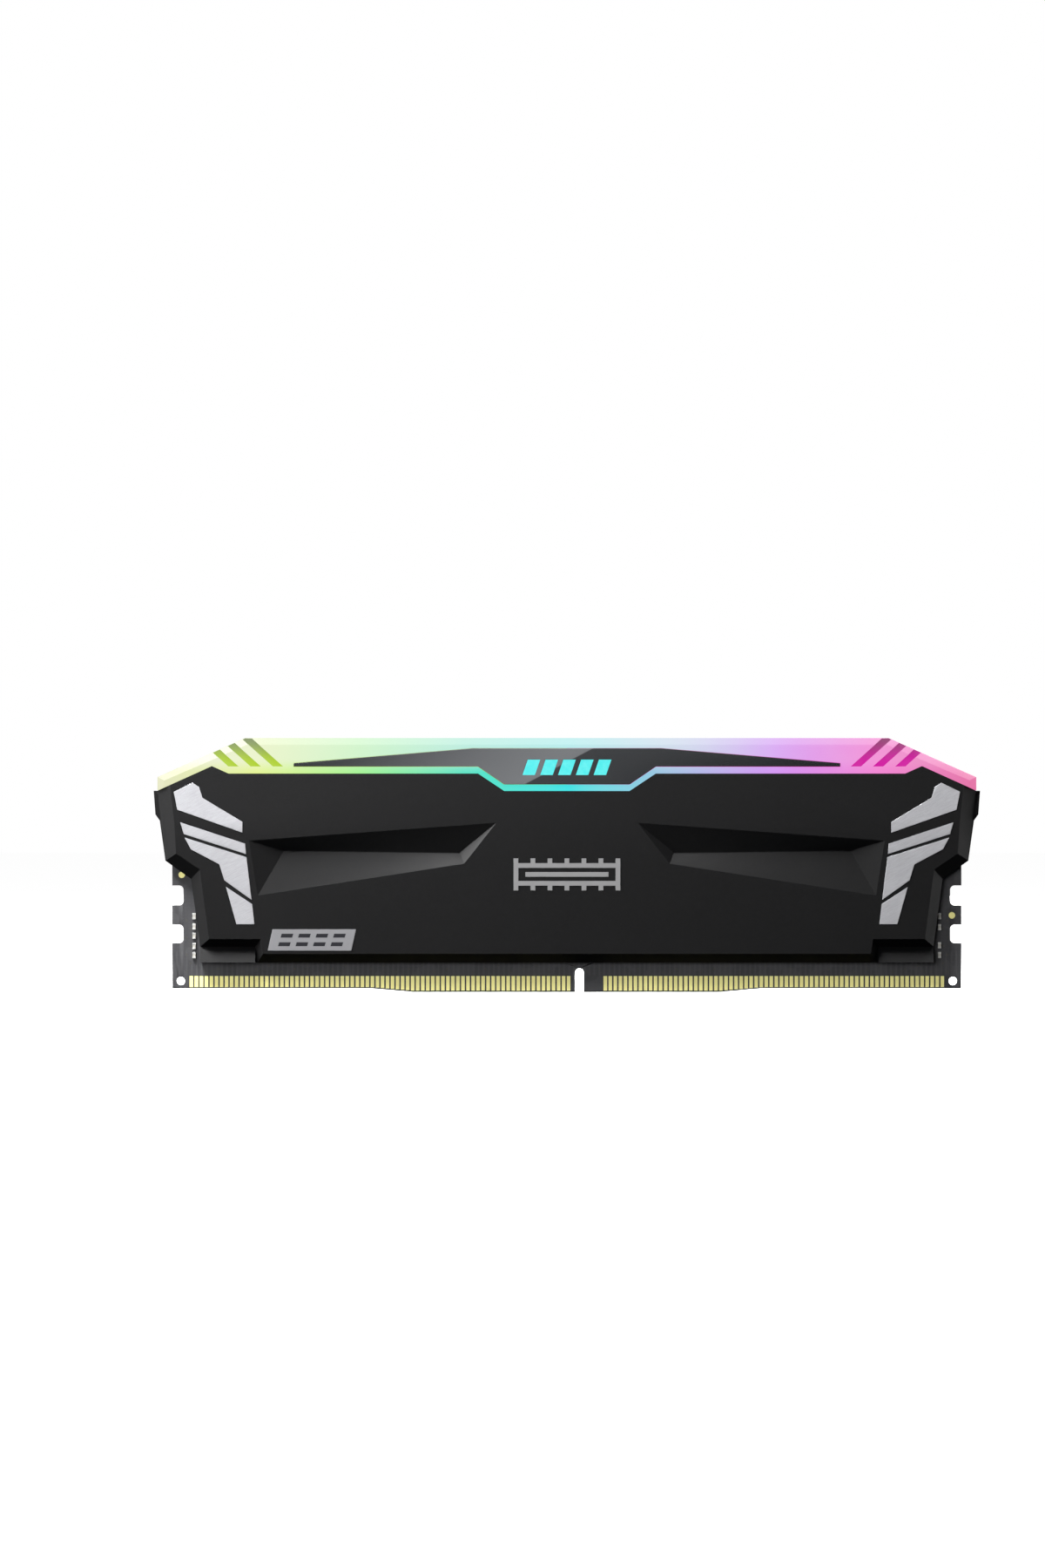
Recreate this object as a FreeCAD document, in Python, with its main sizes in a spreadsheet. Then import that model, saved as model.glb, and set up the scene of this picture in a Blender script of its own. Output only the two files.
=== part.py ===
"""Desktop memory module with two heat spreaders and a light bar along the top.

X runs along the module, Y through its thickness with the front face towards -Y, and Z up.
The origin is at the middle of the lowest edge of the circuit board, where it meets its socket.
"""
import FreeCAD, Part
import os
from types import SimpleNamespace

import Sketcher

# Every driving size in millimetres: name, value, what it is.
SIZES = [
    # circuit board
    ("board_length", 133.35, "full length of the circuit board"),
    ("board_height", 31.25, "height of the circuit board"),
    ("board_thickness", 1.27, "thickness of the circuit board"),
    ("edge_rise", 0.6, "how far the bottom edge steps up towards the ends"),
    ("edge_flat_half", 26.0, "half length of the lowest stretch of the bottom edge"),
    ("edge_slope_run", 7.0, "length of each slope between the two edge heights"),
    ("edge_bevel", 0.2, "lead-in bevel along the bottom edge"),
    ("key_offset", 2.13, "centre of the key notch from the middle"),
    ("key_width", 1.47, "width of the key notch"),
    ("key_height", 4.0, "height of the key notch"),
    ("notch_depth", 1.9, "depth of the latch notches in the ends"),
    ("notch_radius", 0.75, "inner corner radius of the latch notches"),
    ("lower_notch_low", 8.25, "bottom of the lower latch notch"),
    ("lower_notch_high", 11.4, "top of the lower latch notch"),
    ("upper_notch_low", 14.65, "bottom of the upper latch notch"),
    ("upper_notch_high", 18.0, "top of the upper latch notch"),
    ("tooling_hole_diameter", 1.4, "corner hole"),
    ("tooling_hole_inset", 1.425, "corner hole centre from the board's end"),
    ("tooling_hole_height", 1.85, "corner hole centre above the bottom edge"),
    # edge contacts
    ("contact_pitch", 0.85, "centre to centre of the gold contacts"),
    ("contact_width", 0.6, "width of one contact"),
    ("contact_thickness", 0.04, "thickness of the plating"),
    ("contact_top", 2.7, "top of the contacts"),
    ("contact_setback", 0.24, "contact bottom above the board's edge"),
    ("contact_inset", 3.2, "least distance from the board's end to a contact centre"),
    ("key_to_long_bank", 1.83, "key centre to the nearest contact centre of the long bank"),
    ("key_to_short_bank", 4.37, "key centre to the nearest contact centre of the short bank"),
    # memory chips and what is soldered beside them
    ("chip_width", 9.0, "memory package along the module"),
    ("chip_tall", 11.0, "memory package up the module"),
    ("chip_thickness", 1.0, "memory package with its solder balls"),
    ("chip_pitch", 11.6, "centre to centre of neighbouring memory packages"),
    ("chip_end_gap", 9.5, "board end to the outermost memory package"),
    ("chip_drop", 8.25, "board top to the memory packages"),
    ("power_chip_side", 5.0, "power controller package"),
    ("power_chip_thickness", 0.85, "power controller package"),
    ("inductor_width", 3.0, "power inductor"),
    ("inductor_tall", 2.5, "power inductor"),
    ("inductor_thickness", 1.2, "power inductor"),
    ("inductor_pitch", 3.8, "centre to centre of the power inductors"),
    ("small_chip_width", 3.0, "configuration hub and light controller"),
    ("small_chip_tall", 2.0, "configuration hub and light controller"),
    ("small_chip_thickness", 0.75, "configuration hub and light controller"),
    ("passive_length", 1.0, "small capacitor or resistor"),
    ("passive_width", 0.5, "small capacitor or resistor"),
    ("passive_thickness", 0.5, "small capacitor or resistor"),
    ("passive_gap", 0.45, "memory package to the nearest small part"),
    ("emitter_width", 1.6, "light emitter"),
    ("emitter_tall", 1.1, "light emitter"),
    ("emitter_thickness", 0.8, "light emitter"),
    ("emitter_drop", 0.3, "board top to the light emitters"),
    ("emitter_pitch", 12.0, "centre to centre of the light emitters"),
    ("edge_part_inset", 3.7, "centre of the end columns of small parts from the board's end"),
    ("ground_pad_diameter", 1.1, "bare gold pad on the board's end"),
    ("ground_pad_inset", 1.6, "gold pad centre from the board's end"),
    # heat spreaders, measured through the thickness
    ("rim_clearance", 0.1, "board face to the spreader's rim"),
    ("thermal_pad_thickness", 0.45, "adhesive thermal pad over the memory chips"),
    ("rim_wall", 1.5, "thickness of the spreader's low rim"),
    ("face_wall", 1.815, "thickness of the spreader over the chips"),
    ("recess_depth", 1.2, "depth of the long wedge recesses"),
    ("recess_valley", 0.15, "width of the flat line at the bottom of a recess"),
    ("upper_lean", 0.3, "how far the upper face leans back by the time it meets the bar"),
    ("cavity_inset", 9.75, "chip cavity end from the spreader's tip"),
    ("cavity_floor", 8.6, "bottom of the chip cavity"),
    # heat spreader outline: insets are from the tip, drops are from the board's top
    ("tip_overhang", 3.075, "spreader tip beyond the board's end"),
    ("tab_drop", 1.25, "bottom of the end tab"),
    ("tab_inset", 0.29, "bottom of the end tab"),
    ("tab_root_drop", 2.28, "where the end tab meets the wing"),
    ("tab_root_inset", 1.03, "where the end tab meets the wing"),
    ("waist_inset", 1.98, "upper corner of the waist"),
    ("waist_drop", 9.05, "upper corner of the waist"),
    ("hip_inset", 6.31, "lower corner of the waist"),
    ("hip_drop", 12.12, "lower corner of the waist"),
    ("foot_inset", 7.86, "outer side of the foot"),
    ("foot_width", 9.29, "length of the foot's low ledge"),
    ("foot_lean", 0.4, "lean of the foot's inner end"),
    ("foot_low", 5.04, "bottom edge of the spreader"),
    ("foot_high", 7.68, "top of the foot's ledge"),
    ("foot_flare", 0.95, "how far the foot's bottom edge flares out in front of the rim"),
    ("side_bevel", 2.5, "width of the bevel down the wings"),
    ("hip_bevel", 1.54, "width of the bevel down the lower wings"),
    ("waist_bevel", 1.87, "width of the bevel round the waist"),
    ("waist_facet", 1.2, "height of the facet under the waist"),
    ("ledge_facet", 1.32, "height of the facet above the foot's ledge"),
    ("bottom_facet", 1.46, "height of the facet along the bottom edge"),
    ("ledge_inner_facet", 0.95, "width of the facet at the inner end of the ledge"),
    # long wedge recesses
    ("recess_outer_inset", 16.15, "upper outer corner from the tip"),
    ("recess_outer_drop", 5.65, "upper outer corner below the board's top"),
    ("recess_inner_half", 11.9, "upper inner corner from the middle"),
    ("recess_inner_drop", 2.65, "upper inner corner below the board's top"),
    ("recess_heel_half", 17.33, "lower inner corner from the middle"),
    ("recess_heel_drop", 9.55, "lower inner corner below the board's top"),
    ("recess_toe_inset", 17.62, "lower outer corner from the tip"),
    ("recess_toe_drop", 14.91, "lower outer corner below the board's top"),
    ("valley_outer_inset", 21.88, "outer end of the valley from the tip"),
    ("valley_outer_drop", 7.35, "outer end of the valley below the board's top"),
    ("valley_inner_half", 18.06, "inner end of the valley from the middle"),
    ("valley_inner_drop", 7.65, "inner end of the valley below the board's top"),
    # seam between the spreaders and the light bar: rises are above the board's top
    ("seam_gap", 0.06, "gap between the spreaders and the light bar"),
    ("seam_dip_half", 10.57, "half length of the dip in the middle"),
    ("seam_dip_rise", 2.71, "height of the dip"),
    ("seam_shoulder_half", 15.0, "where the slope out of the dip ends"),
    ("seam_rise", 5.65, "height of the long straight stretch"),
    ("seam_ramp_inset", 12.65, "end of the long straight stretch from the tip"),
    ("seam_peak_inset", 9.85, "peak of the seam from the tip"),
    ("seam_peak_rise", 6.9, "peak of the seam"),
    ("seam_end_inset", 0.65, "outer end of the seam from the tip"),
    ("seam_end_rise", 2.75, "outer end of the seam"),
    # light bar
    ("bar_rise", 11.65, "top of the light bar above the board's top"),
    ("bar_slope_inset", 15.42, "where the top starts to slope down, from the tip"),
    ("bar_end_rise", 5.05, "top of the bar's blunt end"),
    ("bar_setback", 0.45, "bar face behind the spreader's main face"),
    ("bar_bevel", 1.15, "height of the bevel along the bar's top"),
    ("bar_bevel_depth", 0.85, "depth of the bevel along the bar's top"),
    ("tongue_clearance", 0.15, "round the tongue that sits between the spreaders"),
    ("tongue_overlap", 1.1, "how far the tongue runs up into the bar above the seam's peak"),
    ("groove_count", 3, "slanted grooves at each end of the bar"),
    ("groove_width", 1.75, "width of a groove along the bar"),
    ("groove_pitch", 3.75, "groove to groove"),
    ("groove_first_inset", 12.65, "outer side of the first groove's foot, from the tip"),
    ("groove_lean", 1.12, "lean of a groove, length along for each unit up"),
    ("groove_foot", 1.18, "groove foot above the seam's straight stretch"),
    ("groove_depth", 0.8, "depth of a groove, nearly through the bevel"),
    # nameplate on the light bar
    ("glow_line", 1.18, "lit strip left between the seam and the nameplate"),
    ("plate_dip_line", 1.1, "lit strip left under the middle of the nameplate"),
    ("plate_end_inset", 23.65, "nameplate end from the tip"),
    ("plate_end_height", 0.57, "height of the nameplate's end"),
    ("plate_peak_half", 15.9, "half length of the nameplate's flat top"),
    ("plate_rise", 9.91, "top of the nameplate above the board's top"),
    ("plate_thickness", 0.8, "thickness of the nameplate"),
    ("plate_proud", 0.3, "how far the nameplate stands out of the bar"),
    ("plate_clearance", 0.05, "round the nameplate in its pocket"),
    ("window_count", 5, "lit windows in the nameplate"),
    ("window_width", 2.1, "width of a lit window"),
    ("window_pitch", 3.0, "window to window"),
    ("window_height", 2.6, "height of a lit window"),
    ("window_lean", 0.9, "how far a window's top is shifted sideways"),
    ("window_rise", 5.4, "window foot above the board's top"),
    # silver slips let into the wings, badge, emblem and rating label
    ("slip_thickness", 0.5, "thickness of a silver slip"),
    ("trim_proud", 0.05, "how far slips, badge, emblem and label stand out"),
    ("badge_thickness", 0.2, "thickness of the badge"),
    ("badge_inset", 20.1, "outer top corner of the badge from the tip"),
    ("badge_width", 14.1, "length of the badge"),
    ("badge_low", 7.05, "bottom of the badge"),
    ("badge_tall", 3.6, "height of the badge"),
    ("badge_lean", 0.8, "how far the badge's foot is shifted sideways"),
    ("emblem_width", 18.0, "length of the emblem"),
    ("emblem_tall", 5.4, "height of the emblem"),
    ("emblem_low", 17.2, "bottom of the emblem"),
    ("emblem_line", 0.8, "line width of the emblem"),
    ("label_width", 62.0, "length of the rating label"),
    ("label_tall", 7.0, "height of the rating label"),
    ("label_low", 7.6, "bottom of the rating label"),
]

FRONT = -1
BACK = 1
RIGHT = 1
LEFT = -1

doc = FreeCAD.newDocument("memory_module")


class Size:
    """A length that holds its number and the spreadsheet expression it comes from."""

    def __init__(self, number, text):
        self.number = float(number)
        self.text = text

    def __add__(self, other):
        other = as_size(other)
        return Size(self.number + other.number, f"({self.text} + {other.text})")

    def __sub__(self, other):
        other = as_size(other)
        return Size(self.number - other.number, f"({self.text} - {other.text})")

    def __mul__(self, other):
        other = as_size(other)
        return Size(self.number * other.number, f"({self.text} * {other.text})")

    def __truediv__(self, other):
        other = as_size(other)
        return Size(self.number / other.number, f"({self.text} / {other.text})")

    def __neg__(self):
        return Size(-self.number, f"(0 - {self.text})")


def as_size(value):
    if isinstance(value, Size):
        return value
    return Size(value, repr(float(value)))


def write_sheet():
    """Put every driving size in a spreadsheet cell with an alias, and return them by name."""
    sheet = doc.addObject("Spreadsheet::Sheet", "Sizes")
    named = {}
    for row, (name, number, meaning) in enumerate(SIZES, start=1):
        sheet.set(f"A{row}", name)
        sheet.set(f"B{row}", str(number))
        sheet.set(f"C{row}", meaning)
        sheet.setAlias(f"B{row}", name)
        named[name] = Size(number, f"Sizes.{name}")
    doc.recompute()
    return SimpleNamespace(**named)


size = write_sheet()

# Places that several pieces share.
ZERO = as_size(0)
board_end = size.board_length / 2
board_top = size.board_height
board_face = size.board_thickness / 2
tip = board_end + size.tip_overhang
ceiling = board_face + size.chip_thickness + size.thermal_pad_thickness
rim_inner = board_face + size.rim_clearance
rim_face = rim_inner + size.rim_wall
main_face = ceiling + size.face_wall
bar_face = main_face - size.bar_setback
chip_high = board_top - size.chip_drop
chip_low = chip_high - size.chip_tall
crease = board_top - size.recess_inner_drop


# ---------------------------------------------------------------- helpers

def new_body(label):
    body = doc.addObject("PartDesign::Body", label)
    body.Label = label
    return body


def origin_plane(body, role):
    return next(item for item in body.Origin.OriginFeatures if item.Role == role)


def new_sketch(body, name, plane="XZ_Plane", height=ZERO):
    """A sketch on one of the body's own planes, lifted by height towards the plane's front."""
    sketch = body.newObject("Sketcher::SketchObject", name)
    sketch.AttachmentSupport = [(origin_plane(body, plane), "")]
    sketch.MapMode = "FlatFace"
    sketch.AttachmentOffset = FreeCAD.Placement(FreeCAD.Vector(0, 0, height.number), FreeCAD.Rotation())
    sketch.setExpression("AttachmentOffset.Base.z", height.text)
    return sketch


def bind(sketch, kind, first, value):
    """Hold the start point of one edge at a signed distance from the sketch's origin."""
    index = sketch.addConstraint(Sketcher.Constraint(kind, -1, 1, first, 1, value.number))
    sketch.setExpression(f"Constraints[{index}]", value.text)


def add_polygon(sketch, points):
    """A closed outline whose corners are all tied to the spreadsheet."""
    start = sketch.GeometryCount
    count = len(points)
    corners = [FreeCAD.Vector(x.number, z.number, 0) for x, z in points]
    edges = [Part.LineSegment(corners[n], corners[(n + 1) % count]) for n in range(count)]
    sketch.addGeometry(edges, False)
    joins = [Sketcher.Constraint("Coincident", start + n, 2, start + (n + 1) % count, 1) for n in range(count)]
    sketch.addConstraint(joins)
    for n, (x, z) in enumerate(points):
        bind(sketch, "DistanceX", start + n, x)
        bind(sketch, "DistanceY", start + n, z)


def add_circle(sketch, x, z, diameter):
    index = sketch.addGeometry(Part.Circle(FreeCAD.Vector(x.number, z.number, 0), FreeCAD.Vector(0, 0, 1),
                                           diameter.number / 2), False)
    for kind, value in (("DistanceX", x), ("DistanceY", z)):
        constraint = sketch.addConstraint(Sketcher.Constraint(kind, -1, 1, index, 3, value.number))
        sketch.setExpression(f"Constraints[{constraint}]", value.text)
    constraint = sketch.addConstraint(Sketcher.Constraint("Diameter", index, diameter.number))
    sketch.setExpression(f"Constraints[{constraint}]", diameter.text)


def on_side(points, side):
    """The same corners on the right (as given) or the left of the middle."""
    if side == RIGHT:
        return list(points)
    return [(-x, z) for x, z in points]


def both_halves(points):
    """A closed symmetrical outline from the corners of its right half."""
    return list(points) + [(-x, z) for x, z in reversed(points)]


def rectangle(x_low, x_high, z_low, z_high):
    return [(x_low, z_low), (x_high, z_low), (x_high, z_high), (x_low, z_high)]


def pad(body, name, sketch, length, symmetric=False):
    feature = body.newObject("PartDesign::Pad", name)
    feature.Profile = sketch
    feature.setExpression("Length", length.text)
    if symmetric:
        feature.SideType = "Symmetric"
    return feature


def pocket(body, name, sketch, length):
    feature = body.newObject("PartDesign::Pocket", name)
    feature.Profile = sketch
    feature.setExpression("Length", length.text)
    return feature


def pocket_through(body, name, sketch):
    """A cut through everything, both ways from the sketch."""
    feature = body.newObject("PartDesign::Pocket", name)
    feature.Profile = sketch
    feature.SideType = "Symmetric"
    feature.Type = "ThroughAll"
    return feature


def ruled_loft(body, kind, name, near, far):
    feature = body.newObject(f"PartDesign::{kind}", name)
    feature.Profile = near
    feature.Sections = [far]
    feature.Ruled = True
    return feature


def mirrored_to_back(body, name, features):
    feature = body.newObject("PartDesign::Mirrored", name)
    feature.Originals = features
    feature.MirrorPlane = (origin_plane(body, "XZ_Plane"), [""])
    body.Tip = feature
    return feature


def must_cut(body, before, name):
    """A cut that points away from the solid removes nothing and reports nothing, so compare volumes."""
    doc.recompute()
    after = body.Shape.Volume
    if after >= before - 1e-4:
        raise RuntimeError(f"{body.Label}: {name} removed nothing")
    return after


def turned_for(side):
    """The back pieces are the front ones turned half round about the upright axis."""
    angle = 180 if side == BACK else 0
    return FreeCAD.Placement(FreeCAD.Vector(0, 0, 0), FreeCAD.Rotation(FreeCAD.Vector(0, 0, 1), angle))


def block(label, x_span, y_span, z_span):
    """A plain box between two places on each axis."""
    box = doc.addObject("Part::Box", label)
    box.Label = label
    for prop, axis, (low, high) in (("Length", "x", x_span), ("Width", "y", y_span), ("Height", "z", z_span)):
        box.setExpression(prop, (high - low).text)
        box.setExpression(f"Placement.Base.{axis}", low.text)
    return box


def soldered(label, x, z, width, tall, thickness, side=FRONT):
    """A component lying flat on the board, centred at x and z."""
    half = width / 2
    half_tall = tall / 2
    if side == FRONT:
        through = (-(board_face + thickness), -board_face)
    else:
        through = (board_face, board_face + thickness)
    return block(label, (x - half, x + half), through, (z - half_tall, z + half_tall))


def group(label, boxes):
    """Many identical small solids in one node; each entry is centre x, centre z, width, tall, thickness, side."""
    solids = []
    for x, z, width, tall, thickness, side in boxes:
        y_low = -board_face.number - thickness if side == FRONT else board_face.number
        corner = FreeCAD.Vector(x - width / 2, y_low, z - tall / 2)
        solids.append(Part.makeBox(width, thickness, tall, corner))
    feature = doc.addObject("Part::Feature", label)
    feature.Label = label
    feature.Shape = Part.makeCompound(solids)
    return feature


# ---------------------------------------------------------------- circuit board

def edge_height(x):
    """Height of the board's bottom edge at x."""
    past_flat = (abs(x) - size.edge_flat_half.number) / size.edge_slope_run.number
    return size.edge_rise.number * min(max(past_flat, 0.0), 1.0)


def make_board():
    body = new_body("circuit_board")
    outline = new_sketch(body, "board_outline")
    add_polygon(outline, both_halves([
        (size.edge_flat_half, ZERO),
        (size.edge_flat_half + size.edge_slope_run, size.edge_rise),
        (board_end, size.edge_rise),
        (board_end, board_top),
    ]))
    pad(body, "board_panel", outline, size.board_thickness, symmetric=True)
    doc.recompute()
    volume = body.Shape.Volume

    arc_centre = size.key_height - size.key_width / 2
    key_half = size.key_width / 2
    key = new_sketch(body, "key_slot")
    add_polygon(key, rectangle(size.key_offset - key_half, size.key_offset + key_half, as_size(-1), arc_centre))
    pocket_through(body, "key_notch", key)
    volume = must_cut(body, volume, "key notch")

    crown = new_sketch(body, "key_crown")
    add_circle(crown, size.key_offset, arc_centre, size.key_width)
    pocket_through(body, "key_notch_crown", crown)
    volume = must_cut(body, volume, "key notch crown")

    notches = new_sketch(body, "latch_notches")
    for side in (RIGHT, LEFT):
        for low, high in ((size.lower_notch_low, size.lower_notch_high),
                          (size.upper_notch_low, size.upper_notch_high)):
            mouth = rectangle(board_end - size.notch_depth, board_end + 1, low, high)
            add_polygon(notches, on_side(mouth, side))
    pocket_through(body, "latch_notch_cuts", notches)
    volume = must_cut(body, volume, "latch notches")

    holes = new_sketch(body, "tooling_holes")
    for side in (RIGHT, LEFT):
        centre = on_side([(board_end - size.tooling_hole_inset, size.tooling_hole_height)], side)[0]
        add_circle(holes, centre[0], centre[1], size.tooling_hole_diameter)
    pocket_through(body, "tooling_hole_cuts", holes)
    must_cut(body, volume, "tooling holes")

    squared = body.Tip
    rounded = body.newObject("PartDesign::Fillet", "notch_corners")
    rounded.Base = (squared, edges_where(squared.Shape, is_notch_corner))
    rounded.setExpression("Radius", size.notch_radius.text)
    doc.recompute()

    bevel = body.newObject("PartDesign::Chamfer", "lead_in")
    bevel.Base = (rounded, edges_where(rounded.Shape, is_lead_in_edge))
    bevel.setExpression("Size", size.edge_bevel.text)
    doc.recompute()
    return body


def along_y(edge):
    direction = edge.Vertexes[-1].Point - edge.Vertexes[0].Point
    return direction.Length > 1e-6 and abs(direction.y) > 0.99 * direction.Length


def is_notch_corner(edge):
    """An inner corner of a latch notch."""
    notch_floor = board_end.number - size.notch_depth.number
    return along_y(edge) and abs(abs(edge.CenterOfMass.x) - notch_floor) < 1e-4


def is_lead_in_edge(edge):
    """An edge of the bottom that runs along the module on the front or the back."""
    middle = edge.CenterOfMass
    on_face = abs(abs(middle.y) - board_face.number) < 1e-4
    bottom = edge_height(middle.x)
    length_along = edge.BoundBox.XLength
    return on_face and abs(middle.z - bottom) < 1e-3 and length_along > 1


def edges_where(shape, wanted):
    return [f"Edge{n}" for n, edge in enumerate(shape.Edges, start=1) if wanted(edge)]


def make_contacts(side, side_name):
    """Both banks of gold contacts on one face, laid out from the key towards the ends."""
    pitch = size.contact_pitch.number
    key = size.key_offset.number
    room = board_end.number - size.contact_inset.number
    banks = {
        "long": (LEFT, key - size.key_to_long_bank.number),
        "short": (RIGHT, key + size.key_to_short_bank.number),
    }
    for bank, (direction, first) in banks.items():
        count = int((room - direction * first) / pitch) + 1
        boxes = []
        for n in range(count):
            x = first + direction * n * pitch
            low = edge_height(x) + size.contact_setback.number
            tall = size.contact_top.number - low
            boxes.append((x, low + tall / 2, size.contact_width.number, tall, size.contact_thickness.number, side))
        group(f"contacts_{side_name}_{bank}", boxes)


# ---------------------------------------------------------------- components on the board

def chip_centres():
    """Memory packages, four each side of the middle, counted in from the ends."""
    outermost = board_end - size.chip_end_gap - size.chip_width / 2
    left = [-(outermost - size.chip_pitch * n) for n in range(4)]
    right = [outermost - size.chip_pitch * n for n in reversed(range(4))]
    return left + right


def passive_row(centre, z, count, spread, side):
    """A row of upright small parts spread evenly about a centre."""
    step = spread / (count - 1)
    return [(centre - spread / 2 + n * step, z, size.passive_width.number, size.passive_length.number,
             size.passive_thickness.number, side) for n in range(count)]


def make_components():
    chip_middle = (chip_low + chip_high) / 2
    for n, x in enumerate(chip_centres(), start=1):
        soldered(f"dram_chip_{n}", x, chip_middle, size.chip_width, size.chip_tall, size.chip_thickness)

    power_z = chip_middle - size.chip_tall / 4
    soldered("power_controller", ZERO, power_z, size.power_chip_side, size.power_chip_side,
             size.power_chip_thickness)
    inductor_z = power_z + size.power_chip_side / 2 + size.inductor_tall
    inductors = [(n * size.inductor_pitch.number, inductor_z.number, size.inductor_width.number,
                  size.inductor_tall.number, size.inductor_thickness.number, FRONT) for n in (-1, 0, 1)]
    group("power_inductors", inductors)

    half_length = size.passive_length.number / 2
    beside = size.power_chip_side.number / 2 + size.passive_length.number
    supply = []
    for n in range(4):
        for side in (LEFT, RIGHT):
            z = power_z.number + (n - 1.5) * size.passive_length.number * 1.4
            supply.append((side * beside, z, size.passive_length.number, size.passive_width.number,
                           size.passive_thickness.number, FRONT))
    group("supply_capacitors", supply)

    hub_z = inductor_z + size.inductor_tall + size.passive_gap
    hub_x = size.emitter_pitch / 4
    soldered("configuration_hub", hub_x, hub_z, size.small_chip_width, size.small_chip_tall,
             size.small_chip_thickness)
    soldered("light_controller", -hub_x, hub_z, size.small_chip_width, size.small_chip_tall,
             size.small_chip_thickness)

    emitters = []
    emitter_z = board_top.number - size.emitter_drop.number - size.emitter_tall.number / 2
    for n in range(5):
        for side in (LEFT, RIGHT):
            x = side * (n + 0.5) * size.emitter_pitch.number
            emitters.append((x, emitter_z, size.emitter_width.number, size.emitter_tall.number,
                             size.emitter_thickness.number, FRONT))
    group("light_emitters", emitters)

    above = chip_high.number + size.passive_gap.number + half_length
    below = chip_low.number - size.passive_gap.number - half_length
    row_spread = size.chip_width.number - size.passive_length.number
    capacitors = []
    resistors = []
    back = []
    for x in chip_centres():
        capacitors += passive_row(x.number, above, 5, row_spread, FRONT)
        resistors += passive_row(x.number, below, 8, row_spread, FRONT)
        back += passive_row(x.number, above, 6, row_spread, BACK)
    group("chip_capacitors", capacitors)
    group("chip_resistors", resistors)
    group("back_capacitors", back)

    edge_x = board_end.number - size.edge_part_inset.number
    columns = {
        "edge_components_left": (LEFT, (6.2, 7.75, 9.5, 11.05, 12.8)),
        "edge_components_right": (RIGHT, (6.25, 7.9, 10.95, 12.8)),
    }
    for label, (side, heights) in columns.items():
        group(label, [(side * edge_x, z, size.passive_width.number, size.passive_length.number,
                       size.passive_thickness.number, FRONT) for z in heights])


def make_ground_pads():
    """Round bare pads on the board's ends: one on the right, one under the left wing."""
    pads = []
    radius = size.ground_pad_diameter.number / 2
    reach = board_end.number - size.ground_pad_inset.number
    for x, z in ((reach, 12.95), (-reach, 19.8)):
        base = FreeCAD.Vector(x, -board_face.number, z)
        pads.append(Part.makeCylinder(radius, size.contact_thickness.number, base, FreeCAD.Vector(0, -1, 0)))
    feature = doc.addObject("Part::Feature", "ground_pads")
    feature.Label = "ground_pads"
    feature.Shape = Part.makeCompound(pads)


def make_thermal_pads():
    centres = chip_centres()
    half = size.chip_width / 2
    over_chip = board_face + size.chip_thickness
    strips = {"left": (centres[0] - half, centres[3] + half), "right": (centres[4] - half, centres[7] + half)}
    for name, span in strips.items():
        block(f"thermal_pad_front_{name}", span, (-ceiling, -over_chip), (chip_low, chip_high))
        block(f"thermal_pad_back_{name}", span, (board_face, ceiling), (chip_low, chip_high))
    power_z = (chip_low + chip_high) / 2 - size.chip_tall / 4
    reach = size.power_chip_side / 2
    over_power = board_face + size.power_chip_thickness
    block("thermal_pad_power", (-reach, reach), (-ceiling, -over_power), (power_z - reach, power_z + reach))


# ---------------------------------------------------------------- heat spreaders

def seam_points(lift=ZERO):
    """Right half of the line where the spreaders meet the light bar, from the middle outwards."""
    return [
        (size.seam_dip_half, board_top + size.seam_dip_rise + lift),
        (size.seam_shoulder_half, board_top + size.seam_rise + lift),
        (tip - size.seam_ramp_inset, board_top + size.seam_rise + lift),
        (tip - size.seam_peak_inset, board_top + size.seam_peak_rise + lift),
    ]


def seam_end(lift=ZERO):
    return (tip - size.seam_end_inset, board_top + size.seam_end_rise + lift)


def seam_bevel_end():
    """Where the wing's bevel meets the seam on the main face, on the same straight line."""
    share = size.side_bevel / (size.seam_peak_inset - size.seam_end_inset)
    drop = (size.seam_peak_rise - size.seam_end_rise) * share
    return (tip - size.seam_end_inset - size.side_bevel, board_top + size.seam_end_rise + drop)


def foot_points():
    """Right half of the foot at the low rim: outer side, ledge, inner end."""
    inner = tip - size.foot_inset - size.foot_width
    return [
        (tip - size.foot_inset, size.foot_high),
        (inner, size.foot_high),
        (inner - size.foot_lean, size.foot_low),
    ]


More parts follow.
